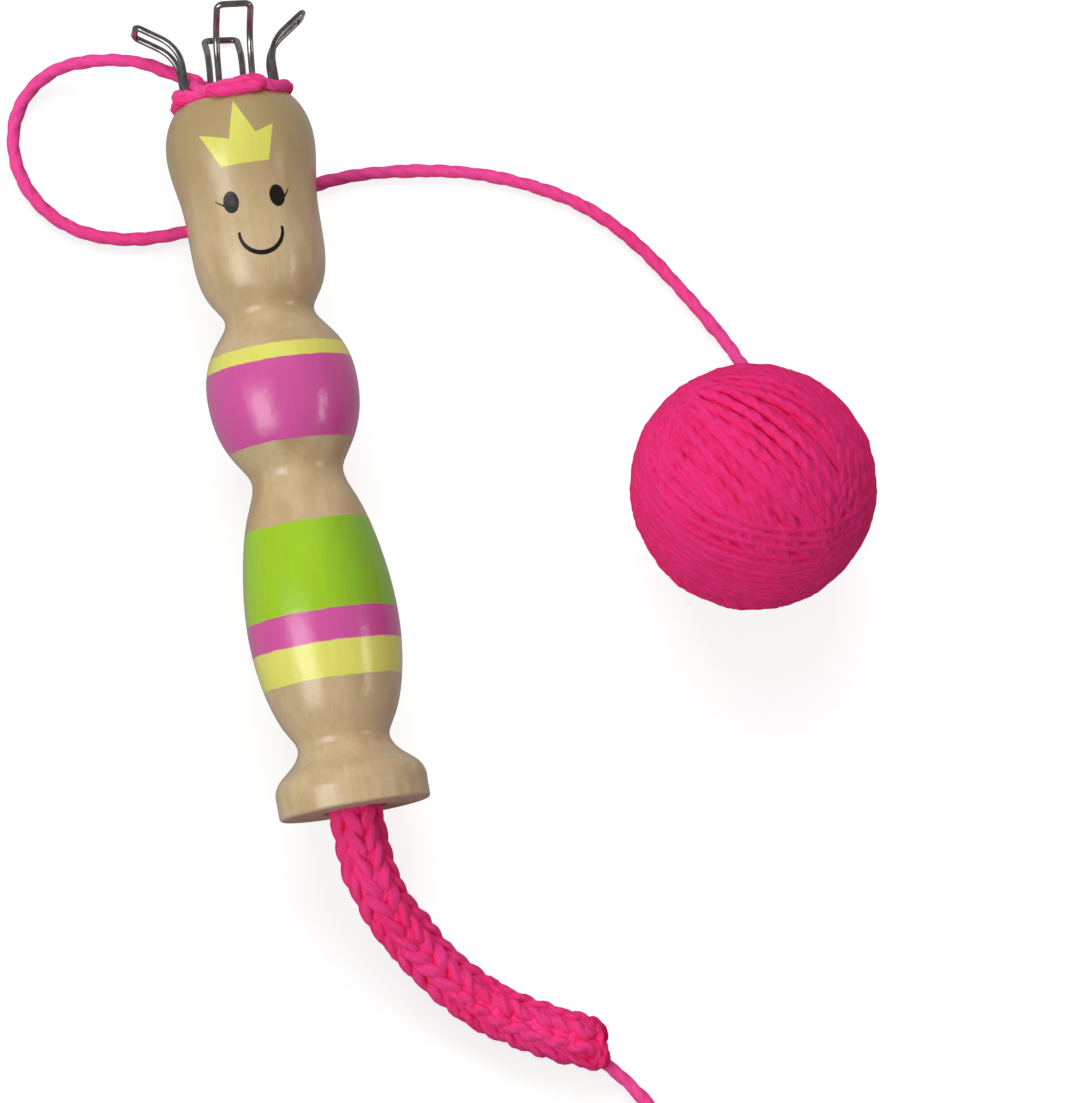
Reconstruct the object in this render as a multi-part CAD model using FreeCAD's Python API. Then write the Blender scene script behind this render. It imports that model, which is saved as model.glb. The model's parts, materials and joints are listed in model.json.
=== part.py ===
"""Wooden i-cord maker (a spool-knitting doll) lying on its back with work in progress.

Row frame: +Y runs along the doll from foot to head, +X across it, +Z up.
The origin is the bottom centre of the doll's own box, without its cords.
The doll is first built upright, with its foot face at height 0 and its face towards -Y,
and is then laid on its back, so that it rests on its foot rim and on one wire loop.
"""
import FreeCAD, Part
import math
import os

os.makedirs("parts", exist_ok=True)
Vec = FreeCAD.Vector

# ---- turned wooden body, mm ----
WOOD_LENGTH = 131.0
FOOT_RADIUS = 13.75
RIM_EDGE = 0.6
BORE_RADIUS = 5.6
BORE_EDGE = 0.5
# Turned outline from the foot to the crown: (height above the foot face, radius).
FOOT_OUTLINE = [(3.4, FOOT_RADIUS), (7.3, 12.3), (9.7, 9.6), (12.3, 8.4)]
BELLY_OUTLINE = [(15.0, 9.6), (21.5, 12.2), (33.5, 13.75), (47.5, 12.35), (56.5, 9.75), (61.7, 8.45)]
CHEST_OUTLINE = [(64.5, 9.95), (69.0, 12.4), (76.0, 13.75), (83.5, 12.65), (88.0, 9.85), (91.1, 8.2)]
HEAD_OUTLINE = [(94.2, 9.8), (98.4, 11.55), (104.5, 12.1), (113.0, 12.4), (122.0, 13.6), (128.2, 12.3)]
CROWN_RADIUS = 10.3

# ---- four wire loops, mm ----
WIRE_RADIUS = 0.6
WIRE_CIRCLE = 8.2
LEG_HALF_SPACING = 3.05
LEG_SUNK = 9.5
HOLE_CLEARANCE = 0.02
HOLE_EXTRA_DEPTH = 0.2
STRAIGHT_RISE = 7.4
FLARE_BEND_RADIUS = 7.0
FLARE_ANGLE = 55.0
FLARE_STRAIGHT = 5.0
CORNER_RADIUS = 1.15
# Each loop's place round the bore from the face towards +X and its sideways lean, in degrees,
# and how much deeper than the shallowest loop it is driven in, mm.
WIRE_LOOPS = {
    "front": (8.0, 5.0, 1.1),
    "right": (98.0, 1.0, 1.65),
    "back": (188.0, -6.0, 0.7),
    "left": (-82.0, -5.0, 0.0),
}

# ---- yarn and knitting, mm ----
YARN_RADIUS = 1.25
STITCH_HALF_WIDTH = 1.15
STITCH_HEIGHT = 4.4
STITCH_GAP = 0.05
STITCH_ARM_GAP = 0.25
STITCH_BEND_RADIUS = 2.0
STITCH_ARM_END = 7.0
ROUND_RADIUS = 6.3
CORD_RADIUS = 5.2
CORD_LEAD = 9.2
BALL_RADIUS = 22.2
BALL_CENTRE = Vec(80.4, -29.7, BALL_RADIUS)
# The ball's windings lie side by side round one slanting axis, which points this far round
# from +X, in degrees, and slopes so that the resting winding, counted from its end, meets the table.
WINDINGS = 9
WINDING_DEPTH = 2.0
WINDING_TURN = 29.0
RESTING_WINDING = 4
CORD_ARC_SHARE = 0.45

# Free cords: points of each route, chosen by hand, in the row frame.
# The working yarn leaves the last round between the back and left loops, makes a wide
# loop on the table, passes below the head and climbs the side of the ball.
YARN_ROUTE = [
    (-4.7, 62.9, 11.3), (-9.7, 65.5, 11.0), (-15.1, 69.3, 9.9), (-22.9, 71.7, 7.2), (-31.5, 72.5, 3.2),
    (-38.7, 68.1, 1.4), (-41.9, 59.9, 1.3), (-40.4, 50.6, 1.3), (-34.3, 42.7, 1.3), (-25.1, 38.6, 1.3),
    (-14.5, 37.9, 1.3), (-3.5, 39.3, 1.3), (7.3, 42.1, 1.3), (18.3, 43.5, 1.3), (29.4, 42.5, 1.3),
    (40.5, 40.3, 1.3), (51.1, 36.1, 1.3), (60.9, 30.2, 1.3), (68.7, 21.9, 1.3), (74.7, 12.7, 1.3),
    (78.9, 5.5, 1.3), (81.8, 0.4, 1.3), (83.5, -4.4, 4.4), (84.1, -7.1, 9.7), (83.8, -7.3, 15.7),
]
# The knitted cord goes on from the foot face and its lead, down to the table.
CORD_ROUTE = [(2.6, -92.4, 10.8), (7.6, -101.0, 7.0), (14.2, -109.7, 5.3), (24.3, -117.4, 5.3), (36.5, -122.6, 5.3)]
# The tail is the yarn's first end, from the far end of the knitted cord.
TAIL_ROUTE = [
    (36.1, -125.3, 2.6), (40.3, -130.1, 1.4), (44.3, -136.9, 1.3), (50.3, -143.5, 1.3), (58.9, -147.3, 1.3),
    (68.5, -148.1, 1.3), (77.5, -151.3, 1.3), (85.1, -157.3, 1.3),
]


def turned_body(holes):
    """One turning with a through bore and eight blind holes for the wire legs."""
    stations = FOOT_OUTLINE + BELLY_OUTLINE + CHEST_OUTLINE + HEAD_OUTLINE
    outline_points = [Vec(radius, 0, height) for height, radius in stations]
    outline_points.append(Vec(CROWN_RADIUS, 0, WOOD_LENGTH))
    outline = Part.BSplineCurve()
    outline.interpolate(outline_points)
    foot_corner = Vec(FOOT_RADIUS, 0, 0)
    foot_inner = Vec(BORE_RADIUS, 0, 0)
    crown_inner = Vec(BORE_RADIUS, 0, WOOD_LENGTH)
    edges = [
        Part.LineSegment(foot_inner, foot_corner).toShape(),
        Part.LineSegment(foot_corner, outline_points[0]).toShape(),
        outline.toShape(),
        Part.LineSegment(outline_points[-1], crown_inner).toShape(),
        Part.LineSegment(crown_inner, foot_inner).toShape(),
    ]
    body = Part.Face(Part.Wire(edges)).revolve(Vec(0, 0, 0), Vec(0, 0, 1), 360)
    body = soften_rim(body, FOOT_RADIUS, 0, RIM_EDGE)
    body = soften_rim(body, CROWN_RADIUS, WOOD_LENGTH, RIM_EDGE)
    body = soften_rim(body, BORE_RADIUS, 0, BORE_EDGE)
    body = soften_rim(body, BORE_RADIUS, WOOD_LENGTH, BORE_EDGE)
    for hole in holes:
        body = body.cut(hole)
    return body


def soften_rim(body, radius, height, edge_radius):
    """Round the circular edge of that radius and height."""
    for edge in body.Edges:
        circle = edge.Curve
        if isinstance(circle, Part.Circle) and abs(circle.Radius - radius) < 1e-6:
            if abs(circle.Center.z - height) < 1e-6:
                return body.makeFillet(edge_radius, [edge])
    raise ValueError("no rim of radius %.2f at %.2f" % (radius, height))


def loop_placement(angle, lean, driven):
    """Placement of a loop: x is sideways, -y is outwards from the bore, z is up from the crown."""
    lean_turn = FreeCAD.Rotation(Vec(0, 1, 0), lean)
    ring_turn = FreeCAD.Rotation(Vec(0, 0, 1), angle)
    centre = ring_turn.multVec(Vec(0, -WIRE_CIRCLE, WOOD_LENGTH - driven))
    return FreeCAD.Placement(centre, ring_turn.multiply(lean_turn))


def arc_edge(start, middle, end):
    return Part.Arc(start, middle, end).toShape()


def wire_loop(placement):
    """One bent wire: two sunk legs, an outward flare and a crossbar with rounded corners."""
    flare = math.radians(FLARE_ANGLE)

    def bend_point(side, angle):
        outwards = FLARE_BEND_RADIUS * (1 - math.cos(angle))
        height = STRAIGHT_RISE + FLARE_BEND_RADIUS * math.sin(angle)
        return Vec(side * LEG_HALF_SPACING, -outwards, height)

    slope = Vec(0, -math.sin(flare), math.cos(flare))
    corner_cut = CORNER_RADIUS * (1 - math.sqrt(0.5))

    def leg_edges(side):
        foot = Vec(side * LEG_HALF_SPACING, 0, -LEG_SUNK)
        bend_start = bend_point(side, 0)
        bend_end = bend_point(side, flare)
        corner = bend_end + slope * FLARE_STRAIGHT
        corner_start = corner - slope * CORNER_RADIUS
        corner_end = corner - Vec(side * CORNER_RADIUS, 0, 0)
        corner_middle = corner - slope * corner_cut - Vec(side * corner_cut, 0, 0)
        edges = [
            Part.LineSegment(foot, bend_start).toShape(),
            arc_edge(bend_start, bend_point(side, flare / 2), bend_end),
            Part.LineSegment(bend_end, corner_start).toShape(),
            arc_edge(corner_start, corner_middle, corner_end),
        ]
        return edges, corner_end

    first_leg, first_corner = leg_edges(-1)
    second_leg, second_corner = leg_edges(1)
    crossbar = Part.LineSegment(first_corner, second_corner).toShape()
    path = Part.Wire(first_leg + [crossbar] + second_leg[::-1])
    start = Vec(-LEG_HALF_SPACING, 0, -LEG_SUNK)
    section = Part.Wire(Part.Circle(start, Vec(0, 0, 1), WIRE_RADIUS).toShape())
    loop = path.makePipeShell([section], True, False)
    loop.Placement = placement
    return loop


def leg_holes(placement):
    """The two blind holes that hold a loop's legs."""
    holes = []
    depth = LEG_SUNK + HOLE_EXTRA_DEPTH
    for side in (-1, 1):
        bottom = Vec(side * LEG_HALF_SPACING, 0, -depth)
        hole = Part.makeCylinder(WIRE_RADIUS + HOLE_CLEARANCE, depth + LEG_SUNK, bottom)
        hole.Placement = placement
        holes.append(hole)
    return holes


def slot_section(centre, across):
    """Upright slot outline, as wide as the yarn and as high as a stitch."""
    half_straight = STITCH_HEIGHT / 2 - STITCH_HALF_WIDTH
    side = across * STITCH_HALF_WIDTH
    upper = centre + Vec(0, 0, half_straight)
    lower = centre - Vec(0, 0, half_straight)
    cap = Vec(0, 0, STITCH_HALF_WIDTH)
    return Part.Wire([
        Part.LineSegment(lower + side, upper + side).toShape(),
        arc_edge(upper + side, upper + cap, upper - side),
        Part.LineSegment(upper - side, lower - side).toShape(),
        arc_edge(lower - side, lower - cap, lower + side),
    ])


def stitch(angle, lean, driven):
    """One stitch: yarn round the outside of a wire loop, with both arms back to the bore."""
    arm = LEG_HALF_SPACING + WIRE_RADIUS + STITCH_HALF_WIDTH + STITCH_ARM_GAP
    outer = WIRE_CIRCLE + WIRE_RADIUS + STITCH_HALF_WIDTH + STITCH_GAP
    bend = STITCH_BEND_RADIUS
    cut = bend * (1 - math.sqrt(0.5))
    height = WOOD_LENGTH + STITCH_GAP + STITCH_HEIGHT / 2
    left_end = Vec(-arm, -STITCH_ARM_END, height)
    right_end = Vec(arm, -STITCH_ARM_END, height)
    left_bend = Vec(-arm, bend - outer, height)
    right_bend = Vec(arm, bend - outer, height)
    front_left = Vec(bend - arm, -outer, height)
    front_right = Vec(arm - bend, -outer, height)
    path = Part.Wire([
        Part.LineSegment(left_end, left_bend).toShape(),
        arc_edge(left_bend, Vec(cut - arm, cut - outer, height), front_left),
        Part.LineSegment(front_left, front_right).toShape(),
        arc_edge(front_right, Vec(arm - cut, cut - outer, height), right_bend),
        Part.LineSegment(right_bend, right_end).toShape(),
    ])
    band = path.makePipeShell([slot_section(left_end, Vec(1, 0, 0))], True, False)
    band.translate(Vec((STITCH_HEIGHT / 2 + driven) * math.tan(math.radians(lean)), 0, 0))
    band.rotate(Vec(0, 0, 0), Vec(0, 0, 1), angle)
    return band


def last_round():
    """The newest round of knitting: a ring of yarn on the crown, inside the wire legs."""
    centre = Vec(ROUND_RADIUS, 0, WOOD_LENGTH + STITCH_GAP + STITCH_HEIGHT / 2)
    return Part.Face(slot_section(centre, Vec(1, 0, 0))).revolve(Vec(0, 0, 0), Vec(0, 0, 1), 360)


def cord_tube(name, route, radius):
    """A tube along straight runs joined by tangent arcs, each as large as its two runs allow."""
    points = [Vec(*point) for point in route]
    edges = []
    run_start = points[0]
    radii = []
    for before, corner, after in zip(points, points[1:], points[2:]):
        back = before - corner
        ahead = after - corner
        shorter = min(back.Length, ahead.Length)
        turn = math.pi - back.getAngle(ahead)
        back.normalize()
        ahead.normalize()
        reach = CORD_ARC_SHARE * shorter
        arc_radius = reach / math.tan(turn / 2)
        arc_start = corner + back * reach
        arc_end = corner + ahead * reach
        inwards = (back + ahead).normalize()
        middle = corner + inwards * (arc_radius / math.cos(turn / 2) - arc_radius)
        edges.append(Part.LineSegment(run_start, arc_start).toShape())
        edges.append(arc_edge(arc_start, middle, arc_end))
        run_start = arc_end
        radii.append(arc_radius)
    edges.append(Part.LineSegment(run_start, points[-1]).toShape())
    path = Part.Wire(edges)
    section = Part.Wire(Part.Circle(points[0], points[1] - points[0], radius).toShape())
    tube = path.makePipeShell([section], True, False)
    expected = math.pi * radius ** 2 * path.Length
    print(name, "length %.1f" % path.Length, "volume ratio %.4f" % (tube.Volume / expected))
    print("  radii in diameters", " ".join("%.1f" % (r / (2 * radius)) for r in radii))
    return tube


def rest_tilt(back_loop):
    """Angle that lifts the head when the foot rim and the back wire loop touch the table."""
    box = back_loop.optimalBoundingBox(False)
    crossbar_height = box.ZMax - WIRE_RADIUS
    return math.degrees(math.atan2(box.YMax - FOOT_RADIUS, crossbar_height))


def lie_down(pieces):
    """Lay the upright pieces along +Y with the face up, standing on z = 0 about the origin."""
    turn = FreeCAD.Rotation(Vec(1, 0, 0), rest_tilt(pieces["back_wire_loop"]) - 90)
    box = FreeCAD.BoundBox()
    for solid in pieces.values():
        solid.Placement = FreeCAD.Placement(Vec(0, 0, 0), turn).multiply(solid.Placement)
        box.add(solid.optimalBoundingBox(False))
    shift = Vec(-box.Center.x, -box.Center.y, -box.ZMin)
    for solid in pieces.values():
        solid.translate(shift)
    print("doll box", box.XLength, box.YLength, box.ZLength)
    return FreeCAD.Placement(shift, turn)


def save(name, solid):
    if not solid.isValid() or len(solid.Solids) != 1:
        raise ValueError("%s is not one valid solid" % name)
    solid.Solids[0].exportStep("parts/%s.step" % name)


def build_doll():
    """Make the body, wires and stitches upright, lay them down and save them."""
    placements = {name: loop_placement(*place) for name, place in WIRE_LOOPS.items()}
    holes = [hole for placement in placements.values() for hole in leg_holes(placement)]
    pieces = {"turned_body": turned_body(holes), "last_round": last_round()}
    for name, placement in placements.items():
        pieces[name + "_wire_loop"] = wire_loop(placement)
        pieces[name + "_stitch"] = stitch(*WIRE_LOOPS[name])
    pieces["knitted_cord_inside"] = Part.makeCylinder(CORD_RADIUS, WOOD_LENGTH)
    lying = lie_down(pieces)
    for name, solid in pieces.items():
        save(name, solid)
    return lying


def ball_point(angle, radius):
    """A place on the ball's outline, at an angle from its winding axis."""
    return Vec(radius * math.sin(angle), 0, radius * math.cos(angle))


def ball_cap(groove_angle, groove_radius):
    """The outline of the round cap from the end of the winding axis to its first groove."""
    drop = groove_radius * math.cos(groove_angle)
    centre = (BALL_RADIUS ** 2 - groove_radius ** 2) / (2 * (BALL_RADIUS - drop))
    cap_radius = BALL_RADIUS - centre
    half_sweep = math.atan2(groove_radius * math.sin(groove_angle), drop - centre) / 2
    middle = Vec(0, 0, centre) + ball_point(half_sweep, cap_radius)
    return arc_edge(ball_point(0, BALL_RADIUS), middle, ball_point(groove_angle, groove_radius))


def yarn_ball():
    """Ball of yarn: a turned solid, rounded over each wide winding and grooved between them."""
    step = math.pi / WINDINGS
    groove_radius = BALL_RADIUS - WINDING_DEPTH
    cap = ball_cap(step, groove_radius)
    edges = [cap]
    for i in range(1, WINDINGS - 1):
        start = ball_point(step * i, groove_radius)
        crest = ball_point(step * (i + 0.5), BALL_RADIUS)
        end = ball_point(step * (i + 1), groove_radius)
        edges.append(arc_edge(start, crest, end))
    edges.append(cap.mirror(Vec(0, 0, 0), Vec(0, 0, 1)))
    edges.append(Part.LineSegment(Vec(0, 0, -BALL_RADIUS), Vec(0, 0, BALL_RADIUS)).toShape())
    outline = Part.Wire(Part.__sortEdges__(edges))
    ball = Part.Face(outline).revolve(Vec(0, 0, 0), Vec(0, 0, 1), 360)
    slope = 180 / WINDINGS * (RESTING_WINDING - 0.5)
    turn = FreeCAD.Rotation(Vec(0, 0, 1), WINDING_TURN)
    ball.Placement = FreeCAD.Placement(BALL_CENTRE, turn.multiply(FreeCAD.Rotation(Vec(0, 1, 0), 180 - slope)))
    print("ball box", ball.optimalBoundingBox(False), "faces", len(ball.Faces))
    return ball


def build_cords(lying):
    """Make the free knitted cord, its tail, the working yarn and the ball."""
    foot_centre = lying.multVec(Vec(0, 0, 0))
    foot_outwards = lying.Rotation.multVec(Vec(0, 0, -1))
    lead_end = foot_centre + foot_outwards * CORD_LEAD
    print("foot centre", foot_centre, "outwards", foot_outwards)
    cord_route = [foot_centre, lead_end] + CORD_ROUTE
    save("knitted_cord", cord_tube("knitted_cord", cord_route, CORD_RADIUS))
    save("cast_on_tail", cord_tube("cast_on_tail", TAIL_ROUTE, YARN_RADIUS))
    save("working_yarn", cord_tube("working_yarn", YARN_ROUTE, YARN_RADIUS))
    save("yarn_ball", yarn_ball())


build_cords(build_doll())
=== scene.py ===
"""Dresses the wooden knitting doll: paint, varnish, wire, stitches, knitted cord, loose yarn and its ball."""

import json
import math
from types import SimpleNamespace

import bmesh
import bpy
import numpy as np
from bpy.props import FloatProperty, FloatVectorProperty, IntProperty, PointerProperty
from mathutils import Matrix, Vector, noise

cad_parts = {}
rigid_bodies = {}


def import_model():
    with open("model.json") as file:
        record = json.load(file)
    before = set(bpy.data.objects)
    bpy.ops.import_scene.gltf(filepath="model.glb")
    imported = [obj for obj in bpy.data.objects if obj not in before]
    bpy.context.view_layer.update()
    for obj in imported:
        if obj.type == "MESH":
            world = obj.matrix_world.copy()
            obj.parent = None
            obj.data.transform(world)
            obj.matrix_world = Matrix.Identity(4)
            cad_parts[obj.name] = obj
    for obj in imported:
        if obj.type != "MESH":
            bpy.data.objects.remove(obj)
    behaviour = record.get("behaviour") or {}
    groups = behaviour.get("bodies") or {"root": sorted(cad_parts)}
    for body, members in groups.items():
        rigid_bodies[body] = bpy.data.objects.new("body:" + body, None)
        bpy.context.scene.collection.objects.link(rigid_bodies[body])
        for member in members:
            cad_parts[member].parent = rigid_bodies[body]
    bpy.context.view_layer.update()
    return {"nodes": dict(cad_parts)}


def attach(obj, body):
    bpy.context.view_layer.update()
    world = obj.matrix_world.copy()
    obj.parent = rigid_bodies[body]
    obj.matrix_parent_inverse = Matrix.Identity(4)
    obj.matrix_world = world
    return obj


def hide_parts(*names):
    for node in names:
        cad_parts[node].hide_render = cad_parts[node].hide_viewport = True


bl_info = {
    "name": "Wooden Knitting Doll",
    "version": (1, 0, 0),
    "blender": (4, 5, 0),
    "location": "View3D > Sidebar > Knitting Doll",
    "description": "Paint, varnish, wire, stitches, cord and yarn ball of a turned wooden i-cord maker",
    "category": "Object",
}

for leftover in list(bpy.data.objects):
    bpy.data.objects.remove(leftover)
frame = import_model()

MM = 0.001
# The middle of the doll's foot in millimetres, how far its head is lifted, and the doll's own directions.
FOOT_CENTRE = Vector((0.11588, -73.711, 13.75554))
TILT = math.radians(0.97467)
SIDEWAYS = Vector((1, 0, 0))
UPWARDS = Vector((0, -math.sin(TILT), math.cos(TILT)))
ALONG = Vector((0, math.cos(TILT), math.sin(TILT)))
WOOD_LENGTH = 131.0
# Each wire loop's angle round the crown from the face, and its lean to the side, in degrees.
WIRE_LOOPS = {"front": (8, 5), "right": (98, 1), "back": (188, -6), "left": (-82, -5)}

# The lines of the free cords, in millimetres: the solids' routes, with a few points more where a yarn runs
# into its ball or into the knitting.
WORKING_YARN_ROUTE = [
    (-4.7, 62.9, 11.3), (-9.7, 65.5, 11.0), (-15.1, 69.3, 9.9), (-22.9, 71.7, 7.2), (-31.5, 72.5, 3.2),
    (-38.7, 68.1, 1.4), (-41.9, 59.9, 1.3), (-40.4, 50.6, 1.3), (-34.3, 42.7, 1.3), (-25.1, 38.6, 1.3),
    (-14.5, 37.9, 1.3), (-3.5, 39.3, 1.3), (7.3, 42.1, 1.3), (18.3, 43.5, 1.3), (29.4, 42.5, 1.3),
    (40.5, 40.3, 1.3), (51.1, 36.1, 1.3), (60.9, 30.2, 1.3), (68.7, 21.9, 1.3), (74.7, 12.7, 1.3),
    (78.9, 5.5, 1.3), (81.8, 0.4, 1.3), (83.5, -4.4, 4.4), (84.1, -7.1, 9.7), (83.8, -7.3, 15.7),
    (83.3, -8.8, 18.6), (82.6, -11.2, 20.6), (81.9, -13.4, 21.4),
]
KNITTED_CORD_ROUTE = [
    (0.11588, -73.711, 13.75554), (0.11588, -82.91, 13.59904),
    (2.6, -92.4, 10.8), (7.6, -101.0, 7.0), (14.2, -109.7, 5.3), (24.3, -117.4, 5.3), (36.5, -122.6, 5.3),
]
TAIL_ROUTE = [
    (34.6, -123.7, 3.9), (36.1, -125.3, 2.6), (40.3, -130.1, 1.4), (44.3, -136.9, 1.3), (50.3, -143.5, 1.3),
    (58.9, -147.3, 1.3), (68.5, -148.1, 1.3), (77.5, -151.3, 1.3), (85.1, -157.3, 1.3),
]
BALL_CENTRE = Vector((80.4, -29.7, 22.2))
# Steps between two points of a route, for a free yarn, a yarn on the crown and the knitted cord.
YARN_STEPS = 24
CROWN_STEPS = 12
CORD_STEPS = 16


def doll_point(sideways, height, upwards):
    """A place on the doll, in millimetres: across it, above its foot, and out of its face."""
    return FOOT_CENTRE + SIDEWAYS * sideways + ALONG * height + UPWARDS * upwards


def crown_point(angle, out, across, height):
    """A place on the crown, in millimetres: out from the axis at an angle from the face, and across that."""
    sin, cos = math.sin(math.radians(angle)), math.cos(math.radians(angle))
    return doll_point(out * sin + across * cos, height, out * cos - across * sin)


# ---------------------------------------------------------------- settings


def colour_property(name, description, default):
    return FloatVectorProperty(
        name=name, description=description, default=default, subtype="COLOR", size=3, min=0, max=1)


def length_property(name, description, default, low, high):
    return FloatProperty(
        name=name, description=description, default=default, min=low, max=high,
        subtype="DISTANCE", unit="LENGTH")


def power_property(name, description, default):
    return FloatProperty(
        name=name, description=description, default=default, min=0, subtype="POWER", unit="POWER")


class KnittingDollWood(bpy.types.PropertyGroup):
    """Colours of the turned body"""

    wood: colour_property("Wood", "Colour of the varnished beech", (0.64, 0.50, 0.30))
    wood_dark: colour_property("Grain", "Colour of the darker grain lines", (0.44, 0.285, 0.125))
    magenta: colour_property("Magenta paint", "Colour of the magenta bands", (0.655, 0.083, 0.36))
    green: colour_property("Green paint", "Colour of the wide green band", (0.34, 0.60, 0.010))
    yellow: colour_property("Yellow paint", "Colour of the yellow bands and the crown", (0.78, 0.77, 0.145))
    face: colour_property("Face paint", "Colour of the eyes, lashes and smile", (0.012, 0.009, 0.008))


class KnittingDollYarn(bpy.types.PropertyGroup):
    """Size and colour of the yarn"""

    colour: colour_property("Yarn", "Colour of the dyed yarn", (0.99, 0.039, 0.265))
    # Painted shade: the yarn on the ball is a darker copy of the yarn's colour.
    wound: colour_property("Wound yarn", "Deeper colour of the yarn wound on the ball", (0.95, 0.024, 0.215))
    # Painted light: the loose yarn is a paler copy of the yarn's colour.
    loose: colour_property("Loose yarn", "Paler colour of the yarn that lies loose", (0.98, 0.055, 0.33))
    # Painted shade: a darker, redder copy of the yarn's colour for strands that lie deep or turn their sides
    # away.
    depths: colour_property("Painted depth shade", "Deeper colour between the strands", (0.96, 0.008, 0.115))
    radius: length_property("Radius", "Radius of the yarn", 0.00125, 0.0005, 0.003)
    plies: IntProperty(name="Plies", description="Strands twisted into the yarn", min=2, max=6, default=3)
    turn: length_property("Twist length", "Length in which a ply goes once round", 0.0125, 0.004, 0.05)


class KnittingDollKnit(bpy.types.PropertyGroup):
    """Sizes of the knitting"""

    row: length_property("Row height", "Length of cord that one round makes", 0.00378, 0.002, 0.01)
    ring: length_property("Ring radius", "Radius of the stitches' middle line", 0.0033, 0.002, 0.006)
    swing: length_property("Stitch swing", "How far a stitch's legs lean to the side", 0.0011, 0.0002, 0.003)
    reach: length_property("Stitch reach", "Half the height of one stitch", 0.0029, 0.001, 0.006)
    depth: length_property("Stitch depth", "How far a stitch's legs stand out", 0.0005, 0.0001, 0.002)
    thickness: length_property("Knitted radius", "Radius of the yarn in the knitting", 0.00136, 0.0005, 0.003)
    rounding: length_property("End rounding", "Length over which the end draws in", 0.0014, 0.0005, 0.01)
    slant: length_property("End slant", "How much longer the cast-on end is on one side", 0.0013, 0, 0.004)


class KnittingDollBall(bpy.types.PropertyGroup):
    """Sizes of the yarn ball"""

    radius: length_property("Radius", "Outside radius of the ball", 0.0222, 0.01, 0.05)
    strand: length_property("Strand radius", "Radius of the wound yarn", 0.00128, 0.0005, 0.003)
    seed: IntProperty(name="Winding seed", description="Start of the random winding", min=0, default=5)


class KnittingDollStage(bpy.types.PropertyGroup):
    """Camera, lamps and floor"""

    lens: FloatProperty(
        name="Lens", description="Focal length in millimetres", subtype="DISTANCE_CAMERA", min=20, max=400,
        default=189.49)
    key: power_property("Left softboxes", "Power of the two softboxes on the left together", 5.1)
    side: power_property("Right softbox", "Power of the small softbox on the right", 0.95)
    top: power_property("Overhead light", "Power of the soft light overhead", 9.0)
    fill: FloatProperty(
        name="Fill", description="Strength of the even light from all round", min=0, max=2, default=0.205)
    glow: FloatProperty(
        name="Floor brightness", description="How far the floor's look is lifted towards white", min=0, max=1,
        default=0.795)


# ---------------------------------------------------------------- small helpers


def link(obj):
    """Puts an object in the scene."""
    bpy.context.scene.collection.objects.link(obj)
    return obj


def curve_mesh(curve):
    """The mesh of a curve, at its own place."""
    holder = link(bpy.data.objects.new("curve_holder", curve))
    depsgraph = bpy.context.evaluated_depsgraph_get()
    mesh = bpy.data.meshes.new_from_object(holder.evaluated_get(depsgraph))
    bpy.data.objects.remove(holder)
    bpy.data.curves.remove(curve)
    return mesh


def route_line(route, steps, closed=False):
    """Points read from the smooth spline that has the route's points as its control points, in metres."""
    curve = bpy.data.curves.new("route", "CURVE")
    curve.dimensions = "3D"
    curve.resolution_u = steps
    spline = curve.splines.new("NURBS")
    spline.points.add(len(route) - 1)
    for point, place in zip(spline.points, route):
        point.co = (*(Vector(place) * MM), 1)
    spline.order_u = 3
    spline.use_endpoint_u = not closed
    spline.use_cyclic_u = closed
    mesh = curve_mesh(curve)
    line = [v.co.copy() for v in mesh.vertices]
    bpy.data.meshes.remove(mesh)
    return line


def lengths_along(line):
    """The length of a line up to each of its points."""
    steps = [0.0]
    for before, after in zip(line, line[1:]):
        steps.append(steps[-1] + (after - before).length)
    return steps


# Length over which a yarn's end is rounded off, in metres, and how fine its coarse and fine lumps are.
END_TAPER = 0.0016
COARSE_LUMPS = 260
FINE_LUMPS = 900


def ply_section(radius, plies, sides, depth):
    """The outline of a yarn cut across: one lobe for each ply."""
    curve = bpy.data.curves.new("yarn_section", "CURVE")
    curve.dimensions = "2D"
    spline = curve.splines.new("POLY")
    spline.points.add(sides - 1)
    spline.use_cyclic_u = True
    out = depth * radius
    ply = radius - out
    for i, point in enumerate(spline.points):
        around = math.tau * i / sides
        from_ply = around % (math.tau / plies) - math.pi / plies
        reach = out * math.cos(from_ply) + math.sqrt(ply * ply - (out * math.sin(from_ply)) ** 2)
        point.co = (reach * math.cos(around), -reach * math.sin(around), 0, 1)
    return link(bpy.data.objects.new("yarn_section", curve))


def rounded_end(gap, narrow):
    """How thick a yarn is near one of its ends, where it narrows to the given share."""
    near = min(gap / END_TAPER, 1.0)
    return narrow + (1 - narrow) * math.sqrt(near * (2 - near))


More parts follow.
